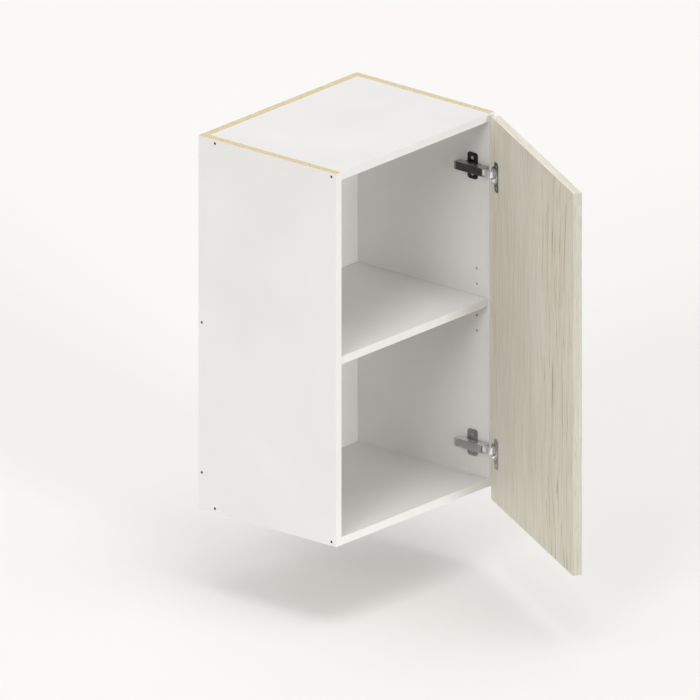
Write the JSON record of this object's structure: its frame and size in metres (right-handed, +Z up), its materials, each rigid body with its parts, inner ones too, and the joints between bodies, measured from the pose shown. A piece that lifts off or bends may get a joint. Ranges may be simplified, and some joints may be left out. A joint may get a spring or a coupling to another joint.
{
  "type": "hanging wall cabinet",
  "caption": "Hanging wall cabinet with one shelf, and a hinged plain door that reaches below the carcass as a finger pull.",
  "frame": {"origin": "centre of the carcass's rear face, on the wall plane", "axes": "+X to the right as seen from the front, +Y into the wall so that the front faces -Y, +Z up"},
  "size_m": [0.475, 0.7798, 0.789],
  "materials": {
    "white_board": "satin white melamine over chipboard",
    "white_edging": "satin white edge band",
    "door_decor": "pale whitish oak decor, vertical grain",
    "door_edging": "edge band in the same decor",
    "dowel_wood": "plain beech",
    "hanger_plastic": "white plastic",
    "zinc_steel": "zinc plated",
    "hinge_nickel": "dull nickel plated",
    "bright_nickel": "bright nickel plated",
    "steel": "plain",
    "dark_screws": "dark plated"
  },
  "bodies": {
    "cabinet": {"left_side": "white_board", "right_side": "white_board", "top_panel": "white_board", "bottom_panel": "white_board", "back_panel": "white_board", "shelf": "white_board", "left_front_band": "white_edging", "right_front_band": "white_edging", "left_bottom_band": "white_edging", "right_bottom_band": "white_edging", "top_front_band": "white_edging", "bottom_front_band": "white_edging", "shelf_front_band": "white_edging", "left_side_screws": "dark_screws", "right_side_screws": "dark_screws", "back_screws": "dark_screws", "left_dowels": "dowel_wood", "right_dowels": "dowel_wood", "shelf_pins": "zinc_steel", "upper_plate": "hinge_nickel", "upper_plate_screws": "zinc_steel", "upper_arm": "hinge_nickel", "upper_arm_cover": "hinge_nickel", "upper_side_screw": "zinc_steel", "upper_depth_screw": "zinc_steel", "upper_spring": "steel", "upper_arm_pin": "steel", "lower_plate": "hinge_nickel", "lower_plate_screws": "zinc_steel", "lower_arm": "hinge_nickel", "lower_arm_cover": "hinge_nickel", "lower_side_screw": "zinc_steel", "lower_depth_screw": "zinc_steel", "lower_spring": "steel", "lower_arm_pin": "steel", "left_hanger_housing": "hanger_plastic", "left_hanger_set_screws": "zinc_steel", "left_hanger_cover": "hanger_plastic", "left_hanger_screws": "zinc_steel", "right_hanger_housing": "hanger_plastic", "right_hanger_set_screws": "zinc_steel", "right_hanger_cover": "hanger_plastic", "right_hanger_screws": "zinc_steel"},
    "hinge_links": {"upper_link": "bright_nickel", "lower_link": "bright_nickel"},
    "door": {"door_panel": "door_decor", "door_hinge_band": "door_edging", "door_free_band": "door_edging", "door_top_band": "door_edging", "door_bottom_band": "door_edging", "upper_cup": "bright_nickel", "upper_cup_pin": "steel", "upper_cup_screws": "zinc_steel", "lower_cup": "bright_nickel", "lower_cup_pin": "steel", "lower_cup_screws": "zinc_steel"},
    "left_hook": {"left_hanger_hook": "zinc_steel"},
    "right_hook": {"right_hanger_hook": "zinc_steel"}
  },
  "joints": [
    {"name": "link_pivot", "type": "hinge", "parent": "cabinet", "child": "hinge_links", "pos_m": [0.20437, -0.349, 0], "axis": [0, 0, 1], "range_deg": [-33.5, 57.4]},
    {"name": "door_pivot", "type": "hinge", "parent": "hinge_links", "child": "door", "pos_m": [0.21137, -0.37139, 0], "axis": [0, 0, 1], "range_deg": [-117.32, 68.44]},
    {"name": "left_hook_slide", "type": "slide", "parent": "cabinet", "child": "left_hook", "axis": [0, 0, 1], "range_m": [-0.006, 0.006]},
    {"name": "right_hook_slide", "type": "slide", "parent": "cabinet", "child": "right_hook", "axis": [0, 0, 1], "range_m": [-0.006, 0.006]}
  ],
  "couplings": [
    {"joint": "link_pivot", "follows": "door_pivot", "ratio": -0.48857}
  ]
}
